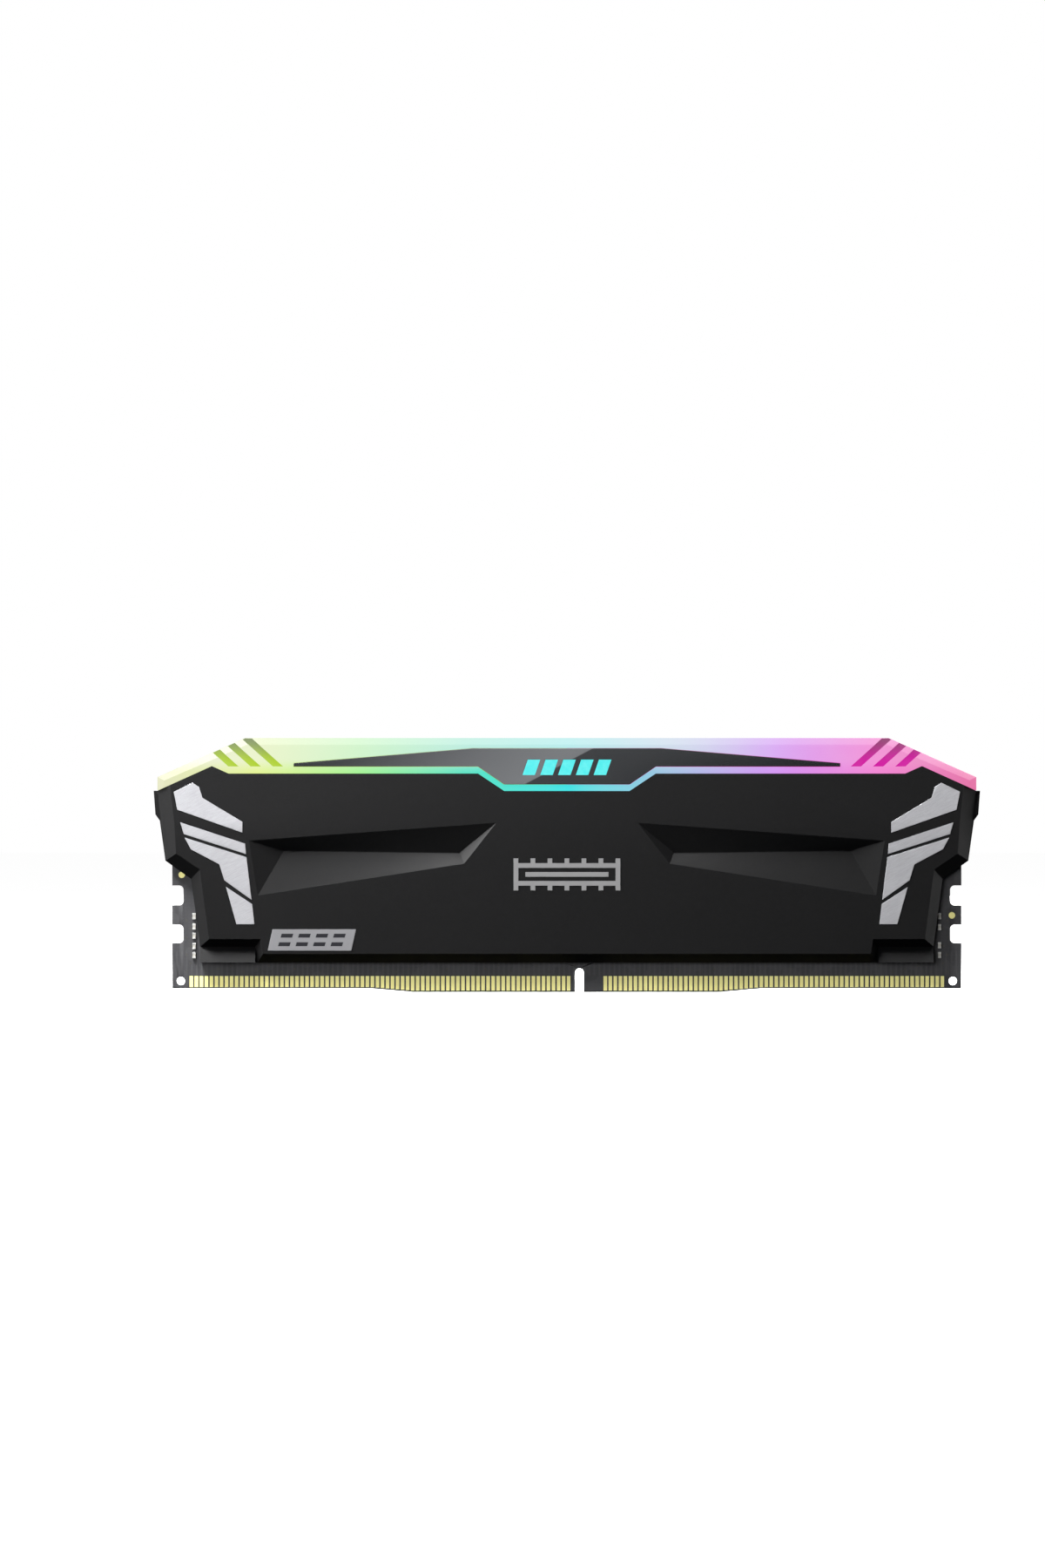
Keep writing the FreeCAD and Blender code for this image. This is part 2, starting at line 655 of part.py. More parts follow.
def make_spreader(label, side):
    body = new_body(label)
    waist = (tip - size.waist_inset, board_top - size.waist_drop)
    hip = (tip - size.hip_inset, board_top - size.hip_drop)

    rim = new_sketch(body, "rim_outline", height=rim_inner)
    add_polygon(rim, both_halves(seam_points() + [
        seam_end(),
        (tip, board_top + size.seam_end_rise),
        (tip - size.tab_inset, board_top - size.tab_drop),
        (tip - size.tab_root_inset, board_top - size.tab_root_drop),
        waist,
        hip,
        (tip - size.foot_inset, size.foot_high),
        (tip - size.foot_inset, size.foot_low),
    ]))
    pad(body, "rim", rim, size.rim_wall)

    base = new_sketch(body, "relief_base", height=rim_face)
    add_polygon(base, both_halves(seam_points() + [seam_end(), waist, hip] + foot_points()))
    face = new_sketch(body, "relief_face", height=main_face)
    ledge = foot_points()
    add_polygon(face, both_halves(seam_points() + [
        seam_bevel_end(),
        (waist[0] - size.waist_bevel, waist[1] + size.waist_facet),
        (hip[0] - size.hip_bevel, hip[1] + size.waist_facet + size.waist_facet / 3),
        (ledge[0][0] - size.hip_bevel, ledge[0][1] + size.ledge_facet),
        (ledge[1][0] - size.ledge_inner_facet, ledge[1][1] + size.ledge_facet),
        (ledge[2][0] - size.ledge_inner_facet, ledge[2][1] + size.bottom_facet),
    ]))
    ruled_loft(body, "AdditiveLoft", "relief", base, face)
    root = rim_inner + size.rim_wall / 2
    for start, name in ((tip - size.foot_inset - size.foot_width, "right"), (size.foot_inset - tip, "left")):
        flare = new_sketch(body, f"foot_flare_profile_{name}", plane="YZ_Plane", height=start)
        add_polygon(flare, [
            (-root, size.foot_high),
            (-rim_face, size.foot_high),
            (-(rim_face + size.foot_flare), size.foot_low),
            (-root, size.foot_low),
        ])
        pad(body, f"foot_flare_{name}", flare, size.foot_width)
    doc.recompute()
    volume = body.Shape.Volume

    for hand, name in ((RIGHT, "right"), (LEFT, "left")):
        mouth = new_sketch(body, f"recess_mouth_{name}", height=main_face)
        add_polygon(mouth, on_side([
            (tip - size.recess_outer_inset, board_top - size.recess_outer_drop),
            (size.recess_inner_half, board_top - size.recess_inner_drop),
            (size.recess_heel_half, board_top - size.recess_heel_drop),
            (tip - size.recess_toe_inset, board_top - size.recess_toe_drop),
        ], hand))
        valley = new_sketch(body, f"recess_valley_{name}", height=main_face - size.recess_depth)
        outer = (tip - size.valley_outer_inset, board_top - size.valley_outer_drop)
        inner = (size.valley_inner_half, board_top - size.valley_inner_drop)
        add_polygon(valley, on_side([
            outer,
            inner,
            (inner[0], inner[1] - size.recess_valley),
            (outer[0], outer[1] - size.recess_valley),
        ], hand))
        ruled_loft(body, "SubtractiveLoft", f"recess_{name}", mouth, valley)
        volume = must_cut(body, volume, f"recess {name}")

    cavity = new_sketch(body, "chip_cavity_outline", height=ceiling)
    reach = tip - size.cavity_inset
    add_polygon(cavity, rectangle(-reach, reach, size.cavity_floor, board_top + size.bar_rise))
    pocket(body, "chip_cavity", cavity, ceiling)
    volume = must_cut(body, volume, "chip cavity")

    seats = new_sketch(body, "slip_seats_outline", height=main_face)
    for hand in (RIGHT, LEFT):
        for outline in slip_outlines():
            add_polygon(seats, on_side(outline, hand))
    pocket(body, "slip_seats", seats, size.slip_thickness)
    volume = must_cut(body, volume, "slip seats")

    badge_seat = new_sketch(body, "badge_seat_outline", height=main_face)
    add_polygon(badge_seat, badge_outline())
    pocket(body, "badge_seat", badge_seat, size.badge_thickness - size.trim_proud)
    volume = must_cut(body, volume, "badge seat")

    lean_back(body, main_face)
    must_cut(body, volume, "leaning upper face")
    body.Placement = turned_for(side)
    return body


def lean_back(body, face):
    """Shave the face above the crease so that it leans back towards the light bar."""
    rise = board_top + size.seam_rise - crease
    profile = new_sketch(body, "lean_profile", plane="YZ_Plane")
    beyond = face + 1
    top = crease + rise * 2
    add_polygon(profile, [
        (-face, crease),
        (-beyond, crease),
        (-beyond, top),
        (-(face - size.upper_lean * 2), top),
    ])
    pocket_through(body, "lean", profile)


# ---------------------------------------------------------------- silver slips, badge, emblem, label

def slip_outlines():
    """The four silver slips in the right wing, top to bottom; insets from the tip, drops from the board's top."""
    shapes = [
        [(3.45, -2.57), (6.61, -4.11), (7.71, -3.38), (8.3, -1.54), (15.05, 2.5), (15.05, 4.33), (4.04, 0.45)],
        [(4.55, 2.57), (15.49, 6.17), (15.64, 7.93), (5.15, 4.55)],
        [(5.29, 5.15), (15.71, 8.45), (16.59, 15.65), (11.97, 12.35), (11.15, 9.65), (6.35, 7.12)],
        [(12.26, 13.45), (16.67, 16.35), (17.05, 19.75), (14.02, 19.75)],
    ]
    return [[(tip - inset, board_top - drop) for inset, drop in shape] for shape in shapes]


def make_slips(label, hand, side):
    body = new_body(label)
    seat = main_face - size.slip_thickness
    outline = new_sketch(body, "slip_outline", height=seat)
    for points in slip_outlines():
        add_polygon(outline, on_side(points, hand))
    pad(body, "slips", outline, size.slip_thickness + size.trim_proud)
    doc.recompute()
    volume = body.Shape.Volume
    lean_back(body, main_face + size.trim_proud)
    must_cut(body, volume, "leaning upper face")
    body.Placement = turned_for(side)
    return body


def badge_outline():
    left = -(tip - size.badge_inset)
    right = left + size.badge_width
    high = size.badge_low + size.badge_tall
    return [
        (left, high),
        (right, high),
        (right - size.badge_lean, size.badge_low),
        (left - size.badge_lean, size.badge_low),
    ]


def make_badge(label, side):
    body = new_body(label)
    outline = new_sketch(body, "badge_shape", height=main_face + size.trim_proud - size.badge_thickness)
    add_polygon(outline, badge_outline())
    pad(body, "badge_plate", outline, size.badge_thickness)
    body.Placement = turned_for(side)
    return body


def make_emblem():
    """A plain chip pictogram printed on the front: a frame with legs above and below, and one bar inside."""
    body = new_body("emblem")
    half = size.emblem_width / 2
    line = size.emblem_line
    low = size.emblem_low + line
    high = size.emblem_low + size.emblem_tall - line
    frame = new_sketch(body, "emblem_lines", height=main_face)
    add_polygon(frame, rectangle(-half, half, low, high))
    add_polygon(frame, rectangle(line - half, half - line, low + line, high - line))
    legs = 7
    leg_pitch = (size.emblem_width - line) / (legs - 1)
    pad(body, "emblem_frame", frame, size.trim_proud)
    leg_lines = new_sketch(body, "emblem_legs_outline", height=main_face)
    for n in range(legs):
        x = leg_pitch * n - half
        add_polygon(leg_lines, rectangle(x, x + line, size.emblem_low, low))
        add_polygon(leg_lines, rectangle(x, x + line, high, high + line))
    pad(body, "emblem_legs", leg_lines, size.trim_proud)
    bar_lines = new_sketch(body, "emblem_bar_outline", height=main_face)
    middle = (low + high) / 2
    add_polygon(bar_lines, rectangle(line * 2.5 - half, half - line * 2.5, middle - line / 2, middle + line / 2))
    pad(body, "emblem_bar", bar_lines, size.trim_proud)
    return body


def make_rating_label():
    half = size.label_width / 2
    return block("rating_label", (-half, half), (main_face, main_face + size.trim_proud),
                 (size.label_low, size.label_low + size.label_tall))


# ---------------------------------------------------------------- light bar

def bar_outline(bevel):
    """Closed outline of the bar; bevel draws the top and the ends in by that much."""
    top = board_top + size.bar_rise - bevel
    end = tip - size.seam_end_inset - bevel
    share = bevel / (size.seam_peak_inset - size.seam_end_inset)
    seam_drop = (size.seam_peak_rise - size.seam_end_rise) * share
    foot = (end, board_top + size.seam_end_rise + size.seam_gap + seam_drop)
    return both_halves(seam_points(size.seam_gap) + [
        foot,
        (end, board_top + size.bar_end_rise - bevel / 2),
        (tip - size.bar_slope_inset - bevel / 3, top),
    ])


def plate_outline(margin):
    """Closed outline of the nameplate, let out by margin all round."""
    foot = board_top + size.seam_rise + size.glow_line - margin
    dip = board_top + size.seam_dip_rise + size.plate_dip_line - margin
    end = tip - size.plate_end_inset + margin
    return both_halves([
        (size.seam_dip_half, dip),
        (size.seam_shoulder_half, foot),
        (end, foot),
        (end, foot + size.plate_end_height + margin * 2),
        (size.plate_peak_half, board_top + size.plate_rise + margin),
    ])


def window_outlines(margin=ZERO):
    """The lit windows in the nameplate: a row of leaning bars."""
    low = board_top + size.window_rise - margin
    high = low + size.window_height + margin * 2
    count = int(size.window_count.number)
    outlines = []
    for n in range(count):
        left = size.window_pitch * (n - (count - 1) / 2) - (size.window_width + size.window_lean) / 2
        right = left + size.window_width
        outlines.append([
            (left - margin, low),
            (right + margin, low),
            (right + margin + size.window_lean, high),
            (left - margin + size.window_lean, high),
        ])
    return outlines


def groove_outlines():
    """Slanted grooves at the right end; each runs up past the bar's top edge."""
    foot = board_top + size.seam_rise + size.groove_foot
    high = board_top + size.bar_rise + 1
    shift = (high - foot) * size.groove_lean
    outlines = []
    for n in range(int(size.groove_count.number)):
        outer = tip - size.groove_first_inset - size.groove_pitch * n
        inner = outer - size.groove_width
        outlines.append([(inner, foot), (outer, foot), (outer + shift, high), (inner + shift, high)])
    return outlines


def make_light_bar():
    body = new_body("light_bar")
    core_face = bar_face - size.bar_bevel_depth
    core = new_sketch(body, "bar_outline")
    add_polygon(core, bar_outline(ZERO))
    pad(body, "bar_core", core, core_face * 2, symmetric=True)

    tongue = new_sketch(body, "tongue_outline")
    reach = tip - size.cavity_inset - size.tongue_clearance
    add_polygon(tongue, rectangle(-reach, reach, board_top + size.tongue_clearance,
                                  board_top + size.seam_peak_rise + size.tongue_overlap))
    pad(body, "tongue", tongue, (ceiling - size.tongue_clearance) * 2, symmetric=True)

    near = new_sketch(body, "bevel_base", height=core_face)
    add_polygon(near, bar_outline(ZERO))
    far = new_sketch(body, "bevel_face", height=bar_face)
    add_polygon(far, bar_outline(size.bar_bevel))
    front = ruled_loft(body, "AdditiveLoft", "bevelled_front", near, far)
    doc.recompute()
    mirrored_to_back(body, "bevelled_back", [front])
    doc.recompute()
    volume = body.Shape.Volume

    seat = new_sketch(body, "plate_seat_outline", height=bar_face)
    add_polygon(seat, plate_outline(size.plate_clearance))
    plate_seat = pocket(body, "plate_seat_front", seat, size.plate_thickness - size.plate_proud)
    volume = must_cut(body, volume, "plate seat")

    grooves = new_sketch(body, "groove_outline", height=bar_face)
    for hand in (RIGHT, LEFT):
        for outline in groove_outlines():
            add_polygon(grooves, on_side(outline, hand))
    groove_cut = pocket(body, "grooves_front", grooves, size.groove_depth)
    volume = must_cut(body, volume, "grooves")

    mirrored_to_back(body, "seats_back", [plate_seat, groove_cut])
    must_cut(body, volume, "seats and grooves on the back")
    return body


def make_nameplate(label, side):
    body = new_body(label)
    low = bar_face + size.plate_proud - size.plate_thickness
    outline = new_sketch(body, "plate_shape", height=low)
    add_polygon(outline, plate_outline(ZERO))
    pad(body, "plate", outline, size.plate_thickness)
    doc.recompute()
    volume = body.Shape.Volume
    windows = new_sketch(body, "window_cuts", height=bar_face + size.plate_proud)
    for points in window_outlines():
        add_polygon(windows, points)
    pocket(body, "windows", windows, size.plate_thickness)
    must_cut(body, volume, "windows")
    body.Placement = turned_for(side)
    return body


def make_windows(label, side):
    body = new_body(label)
    low = bar_face + size.plate_proud - size.plate_thickness
    outline = new_sketch(body, "window_shapes", height=low)
    for points in window_outlines():
        add_polygon(outline, points)
    pad(body, "window_bars", outline, size.plate_thickness)
    body.Placement = turned_for(side)
    return body


# ---------------------------------------------------------------- build, check and write

def checked_nodes():
    """Every top-level piece, after making sure that nothing failed without saying so."""
    doc.recompute()
    for item in doc.Objects:
        if "Invalid" in item.State or "Error" in item.State:
            raise RuntimeError(f"{item.Label} did not build: {item.State}")
    nodes = []
    for item in doc.Objects:
        if item.TypeId not in ("PartDesign::Body", "Part::Box", "Part::Feature"):
            continue
        shape = item.Shape
        if shape.isNull() or not shape.isValid() or not shape.Solids:
            raise RuntimeError(f"{item.Label} has no valid solid")
        nodes.append(item)
    return nodes


make_board()
for face_side, face_name in ((FRONT, "front"), (BACK, "back")):
    make_contacts(face_side, face_name)
make_components()
make_ground_pads()
make_thermal_pads()
make_light_bar()
for face_side, face_name in ((FRONT, "front"), (BACK, "back")):
    make_spreader(f"spreader_{face_name}", face_side)
    make_nameplate(f"nameplate_{face_name}", face_side)
    make_windows(f"mark_windows_{face_name}", face_side)
    for slip_hand, hand_name in ((LEFT, "left"), (RIGHT, "right")):
        make_slips(f"silver_slips_{face_name}_{hand_name}", slip_hand, face_side)
    make_badge(f"badge_{face_name}", face_side)
make_emblem()
make_rating_label()

os.makedirs("parts", exist_ok=True)
for node in checked_nodes():
    node.Shape.exportStep(f"parts/{node.Label}.step")
    print(node.Label, len(node.Shape.Solids), round(node.Shape.Volume, 2))
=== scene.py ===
"""Desktop memory module with heat spreaders and a lit bar: finishes, small trim, studio stage and camera."""

import math

import bmesh
import bpy
from bpy.props import FloatProperty, FloatVectorProperty, PointerProperty
from bpy.types import Operator, Panel, PropertyGroup
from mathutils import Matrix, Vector


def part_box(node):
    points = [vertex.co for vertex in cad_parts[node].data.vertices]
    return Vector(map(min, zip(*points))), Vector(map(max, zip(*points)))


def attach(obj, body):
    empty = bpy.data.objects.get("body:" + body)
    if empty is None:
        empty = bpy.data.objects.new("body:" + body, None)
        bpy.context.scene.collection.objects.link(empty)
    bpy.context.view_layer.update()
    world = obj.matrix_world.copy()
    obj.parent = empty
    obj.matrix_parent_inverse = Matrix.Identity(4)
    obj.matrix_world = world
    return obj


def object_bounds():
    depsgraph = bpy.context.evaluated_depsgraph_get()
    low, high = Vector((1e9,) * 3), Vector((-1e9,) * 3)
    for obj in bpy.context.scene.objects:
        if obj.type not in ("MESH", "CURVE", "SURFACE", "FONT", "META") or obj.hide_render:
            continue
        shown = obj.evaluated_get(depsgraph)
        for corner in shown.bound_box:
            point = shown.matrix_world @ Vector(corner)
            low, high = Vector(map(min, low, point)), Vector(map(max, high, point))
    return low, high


bl_info = {
    "name": "Memory Module Look",
    "version": (1, 0, 0),
    "blender": (4, 5, 0),
    "location": "View3D > Sidebar > Memory Module",
    "description": "Dresses the packed memory module with its finishes, small trim and studio stage",
    "category": "Object",
}

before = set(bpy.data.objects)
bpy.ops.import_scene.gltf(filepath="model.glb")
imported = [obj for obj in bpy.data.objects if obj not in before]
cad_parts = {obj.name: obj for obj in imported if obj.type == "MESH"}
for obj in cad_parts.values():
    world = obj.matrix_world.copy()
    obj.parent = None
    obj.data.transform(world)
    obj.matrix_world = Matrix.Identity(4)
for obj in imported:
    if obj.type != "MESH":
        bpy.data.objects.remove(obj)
CAD_LOW, CAD_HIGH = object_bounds()
MM = 0.001
BODY = "root"
FRONT = -1
BACK = 1
DASH_PITCH = 2.95 * MM

BAR_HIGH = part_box("light_bar")[1]
BOARD_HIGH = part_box("circuit_board")[1]
SPREADER_LOW, SPREADER_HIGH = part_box("spreader_front")
PLATE_LOW, PLATE_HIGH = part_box("nameplate_front")


def linear(code):
    """A scene-linear colour from six hex digits."""
    channels = [int(code[n:n + 2], 16) / 255 for n in (0, 2, 4)]
    return tuple(c / 12.92 if c <= 0.04045 else ((c + 0.055) / 1.055) ** 2.4 for c in channels)


# ---------------------------------------------------------------- shader maths

class Signal:
    """A shader socket in an arithmetic expression; every operator adds its Math node."""

    def __init__(self, finish, socket):
        self.finish = finish
        self.socket = socket

    def _with(self, operation, first, second):
        node = self.finish.node("ShaderNodeMath", {"operation": operation}, {0: first, 1: second})
        return Signal(self.finish, node.outputs[0])

    def __add__(self, other):
        return self._with("ADD", self, other)

    def __radd__(self, other):
        return self._with("ADD", other, self)

    def __sub__(self, other):
        return self._with("SUBTRACT", self, other)

    def __rsub__(self, other):
        return self._with("SUBTRACT", other, self)

    def __mul__(self, other):
        return self._with("MULTIPLY", self, other)

    def __rmul__(self, other):
        return self._with("MULTIPLY", other, self)

    def __truediv__(self, other):
        return self._with("DIVIDE", self, other)

    def __abs__(self):
        return self._with("ABSOLUTE", self, 0.0)

    def __mod__(self, other):
        return self._with("FLOORED_MODULO", self, other)

    def above(self, level):
        return self._with("GREATER_THAN", self, level)

    def below(self, level):
        return self._with("LESS_THAN", self, level)

    def ramp(self, low, high):
        """0 at low and 1 at high, eased between them."""
        node = self.finish.node("ShaderNodeMapRange", {"interpolation_type": "SMOOTHSTEP"},
                                {"Value": self, "From Min": low, "From Max": high})
        return Signal(self.finish, node.outputs["Result"])


class Finish:
    """One procedural material built round a Principled shader."""

    def __init__(self, name):
        self.material = bpy.data.materials.new(name)
        self.material.use_nodes = True
        self.tree = self.material.node_tree
        self.tree.nodes.clear()
        self.shader = self.node("ShaderNodeBsdfPrincipled")
        output = self.node("ShaderNodeOutputMaterial")
        self.tree.links.new(self.shader.outputs[0], output.inputs["Surface"])
        coordinates = self.node("ShaderNodeTexCoord")
        self.place = coordinates.outputs["Object"]
        axes = self.node("ShaderNodeSeparateXYZ", sockets={0: self.place})
        self.x, self.y, self.z = (Signal(self, axes.outputs[n]) for n in range(3))

    def node(self, kind, settings=None, sockets=None):
        """Add one node: its settings first, then values or links for its sockets."""
        made = self.tree.nodes.new(kind)
        for key, value in (settings or {}).items():
            if key == "stops":
                self._set_stops(made.color_ramp, value)
            else:
                setattr(made, key, value)
        for key, value in (sockets or {}).items():
            self._feed(made.inputs[key], value)
        return made

    def _set_stops(self, color_ramp, stops):
        while len(color_ramp.elements) > 1:
            color_ramp.elements.remove(color_ramp.elements[-1])
        for n, (position, color) in enumerate(stops):
            element = color_ramp.elements[0] if n == 0 else color_ramp.elements.new(position)
            element.position = position
            element.color = (*color, 1.0)

    def _feed(self, socket, value):
        if isinstance(value, Signal):
            value = value.socket
        if isinstance(value, bpy.types.NodeSocket):
            self.tree.links.new(value, socket)
        elif socket.type == "RGBA":
            socket.default_value = (*value[:3], 1.0)
        else:
            socket.default_value = value

    def surface(self, **sockets):
        """Feed the shader; names are the socket names with underscores for spaces."""
        for name, value in sockets.items():
            self._feed(self.shader.inputs[name.replace("_", " ")], value)
        return self

    def noise(self, size, detail=3.0, stretch=(1, 1, 1)):
        """Noise with features about size metres across, drawn out along the axes by stretch."""
        scaled = self.node("ShaderNodeVectorMath", {"operation": "DIVIDE"}, {0: self.place, 1: stretch})
        node = self.node("ShaderNodeTexNoise", sockets={"Vector": scaled.outputs[0], "Scale": 1 / size,
                                                        "Detail": detail, "Roughness": 0.55})
        return Signal(self, node.outputs["Fac"])

    def cells(self, size):
        node = self.node("ShaderNodeTexVoronoi", sockets={"Vector": self.place, "Scale": 1 / size})
        return Signal(self, node.outputs["Distance"])

    def mix(self, factor, first, second):
        node = self.node("ShaderNodeMix", {"data_type": "RGBA"}, {0: factor, 6: first, 7: second})
        return node.outputs[2]

    def colour_along(self, position, stops):
        node = self.node("ShaderNodeValToRGB", {"stops": stops}, {0: position})
        return node.outputs["Color"]

    def bump(self, height, depth, strength=1.0):
        node = self.node("ShaderNodeBump",
                         sockets={"Height": height, "Distance": depth, "Strength": strength})
        return node.outputs["Normal"]

    def normal_y(self):
        """How squarely the surface faces the front or the back, from 0 to 1."""
        geometry = self.node("ShaderNodeNewGeometry")
        axes = self.node("ShaderNodeSeparateXYZ", sockets={0: geometry.outputs["True Normal"]})
        return abs(Signal(self, axes.outputs[1]))


# ---------------------------------------------------------------- settings

class SpreaderLook(PropertyGroup):
    black: FloatVectorProperty(name="Black", description="Colour of the anodised face", subtype="COLOR",
                               default=(0.0016, 0.0016, 0.0018), min=0, max=1)
    speckle: FloatVectorProperty(name="Speckle", description="Colour of the lighter blasted grain",
                                 subtype="COLOR", default=(0.0036, 0.0036, 0.0040), min=0, max=1)
    roughness: FloatProperty(name="Roughness", description="Roughness of the blasted face", default=0.62,
                             min=0, max=1)
    grain: FloatProperty(name="Grain", description="Size of the blasted grain", default=0.16 * MM,
                         unit="LENGTH", precision=6)
    edge_radius: FloatProperty(name="Edge radius", description="Rounding of the spreader's edges",
                               default=0.11 * MM, unit="LENGTH", precision=6)


class BarLook(PropertyGroup):
    glow: FloatProperty(name="Glow", description="Brightness of the lit bar", default=0.88, min=0)
    body_tone: FloatVectorProperty(name="Diffuser", description="Colour of the unlit diffuser",
                                   subtype="COLOR", default=(0.012, 0.012, 0.012), min=0, max=1)
    window: FloatVectorProperty(name="Window", description="Colour of the lit windows", subtype="COLOR",
                                default=linear("33dddd"), min=0, max=1)
    smoke: FloatVectorProperty(name="Smoke", description="Dark tone of the nameplate", subtype="COLOR",
                               default=(0.0100, 0.0108, 0.0120), min=0, max=1)
    # Colour of the painted reflection on the nameplate.
    painted_reflection_colour: FloatVectorProperty(name="Smoke highlight", description="Light tone of the nameplate",
                                     subtype="COLOR", default=(0.098, 0.101, 0.106), min=0, max=1)


class BoardLook(PropertyGroup):
    mask: FloatVectorProperty(name="Solder mask", description="Colour of the solder mask", subtype="COLOR",
                              default=(0.042, 0.042, 0.045), min=0, max=1)
    track: FloatVectorProperty(name="Track", description="Mask colour where copper lies under it",
                               subtype="COLOR", default=(0.068, 0.068, 0.071), min=0, max=1)
    gold: FloatVectorProperty(name="Gold", description="Colour of the plated contacts", subtype="COLOR",
                              default=(0.96, 0.90, 0.36), min=0, max=1)
    contact_pitch: FloatProperty(name="Contact pitch", description="Centre to centre of the contacts",
                                 default=0.85 * MM, unit="LENGTH", precision=6)


class TrimLook(PropertyGroup):
    silver: FloatVectorProperty(name="Silver", description="Colour of the silver slips", subtype="COLOR",
                                default=(0.375, 0.375, 0.394), min=0, max=1)
    badge: FloatVectorProperty(name="Badge", description="Colour of the badge", subtype="COLOR",
                               default=(0.215, 0.215, 0.225), min=0, max=1)
    badge_dash: FloatVectorProperty(name="Badge dashes", description="Colour of the dashes on the badge",
                                    subtype="COLOR", default=(0.016, 0.016, 0.020), min=0, max=1)
    ink: FloatVectorProperty(name="Ink", description="Colour of the printed emblem", subtype="COLOR",
                             default=(0.172, 0.172, 0.174), min=0, max=1)
    label: FloatVectorProperty(name="Label", description="Colour of the rating label", subtype="COLOR",
                               default=(0.21, 0.213, 0.216), min=0, max=1)


class StageLook(PropertyGroup):
    floor: FloatVectorProperty(name="Floor", description="Colour of the floor", subtype="COLOR",
                               default=(0.93, 0.93, 0.93), min=0, max=1)
    backdrop: FloatProperty(name="Backdrop", description="Brightness of the plain background", default=1.0)
    sky: FloatProperty(name="Sky", description="Brightness of the soft light from above", default=0.12)
    key_power: FloatProperty(name="Key", description="Power of the overhead softbox", default=3.5,
                             unit="POWER")
    fill_power: FloatProperty(name="Fill", description="Power of the large front panel", default=11.5,
                              unit="POWER")
    side_power: FloatProperty(name="Side", description="Power of the panel beside the module", default=0.30,
                              unit="POWER")
    lens: FloatProperty(name="Lens", description="Focal length in millimetres", default=200.0)
    scale: FloatProperty(name="Frame height", description="Height of the field of view at the module",
                         default=264.3 * MM, unit="LENGTH", precision=5)
    aim_x: FloatProperty(name="Aim along", description="Camera's place along the module",
                         default=-7.49 * MM, unit="LENGTH", precision=5)
    aim_z: FloatProperty(name="Aim up", description="Camera's height", default=35.14 * MM, unit="LENGTH",
                         precision=5)


class ModuleLook(PropertyGroup):
    spreader: PointerProperty(type=SpreaderLook)
    bar: PointerProperty(type=BarLook)
    board: PointerProperty(type=BoardLook)
    trim: PointerProperty(type=TrimLook)
    stage: PointerProperty(type=StageLook)


# ---------------------------------------------------------------- making and dressing pieces

def dress(names, finish):
    """Give carried-over nodes one finish."""
    for name in names:
        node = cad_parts[name]
        node.data.materials.clear()
        node.data.materials.append(finish.material)


def soften(names, radius, segments=2, angle=12):
    """Round the sharp edges of carried-over nodes with modifiers, leaving their meshes alone."""
    for name in names:
        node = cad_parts[name]
        weld = node.modifiers.new("join_corners", "WELD")
        weld.merge_threshold = 0.002 * MM
        edge = node.modifiers.new("edge_round", "BEVEL")
        edge.width = radius
        edge.segments = segments
        edge.limit_method = "ANGLE"
        edge.angle_limit = math.radians(angle)
        edge.use_clamp_overlap = True
        flat = node.modifiers.new("flat_faces", "WEIGHTED_NORMAL")
        flat.mode = "FACE_AREA"
        flat.weight = 100


def box_faces(mesh, low, high, lean=0.0):
    """A box between two corners; lean shifts its top along X."""
    corners = []
    for z, shift in ((low[2], 0.0), (high[2], lean)):
        for x, y in ((low[0], low[1]), (high[0], low[1]), (high[0], high[1]), (low[0], high[1])):
            corners.append(mesh.verts.new((x + shift, y, z)))
    for face in ((3, 2, 1, 0), (4, 5, 6, 7), (0, 1, 5, 4), (1, 2, 6, 5), (2, 3, 7, 6), (3, 0, 4, 7)):
        mesh.faces.new([corners[n] for n in face])


def disc_faces(mesh, x, z, inner, outer, y_low, y_high, sides=16):
    """A flat ring facing the front or the back."""
    rings = []
    for y in (y_low, y_high):
        for radius in (inner, outer):
            turn = 2 * math.pi / sides
            rings.append([
                mesh.verts.new((x + radius * math.cos(turn * n), y, z + radius * math.sin(turn * n)))
                for n in range(sides)])
    pairs = ((rings[0], rings[1]), (rings[1], rings[3]), (rings[3], rings[2]), (rings[2], rings[0]))
    for first, second in pairs:
        for n in range(sides):
            m = (n + 1) % sides
            mesh.faces.new((first[n], second[n], second[m], first[m]))


def new_piece(name, mesh, finish, bevel=0.0):
    """Turn a bmesh into a finished piece that rides on the module."""
    bmesh.ops.recalc_face_normals(mesh, faces=mesh.faces)
    data = bpy.data.meshes.new(name)
    mesh.to_mesh(data)
    mesh.free()
    piece = bpy.data.objects.new(name, data)
    bpy.context.scene.collection.objects.link(piece)
    data.materials.append(finish.material)
    if bevel:
        edge = piece.modifiers.new("edge_round", "BEVEL")
        edge.width = bevel
        edge.segments = 2
    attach(piece, BODY)
    return piece


def separate_boxes(name):
    """Corner pairs of the separate solids in one carried-over node."""
    mesh = bmesh.new()
    mesh.from_mesh(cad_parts[name].data)
    bmesh.ops.remove_doubles(mesh, verts=mesh.verts, dist=0.001 * MM)
    unseen = set(mesh.verts)
    boxes = []
    while unseen:
        reached = {unseen.pop()}
        edge_of_search = list(reached)
        while edge_of_search:
            vertex = edge_of_search.pop()
            for edge in vertex.link_edges:
                other = edge.other_vert(vertex)
                if other not in reached:
                    reached.add(other)
                    edge_of_search.append(other)
        unseen -= reached
        points = [v.co for v in reached]
        boxes.append((Vector([min(p[n] for p in points) for n in range(3)]),
                      Vector([max(p[n] for p in points) for n in range(3)])))
    mesh.free()
    return sorted(boxes, key=lambda pair: (pair[0].x, pair[0].z))


# ---------------------------------------------------------------- finishes

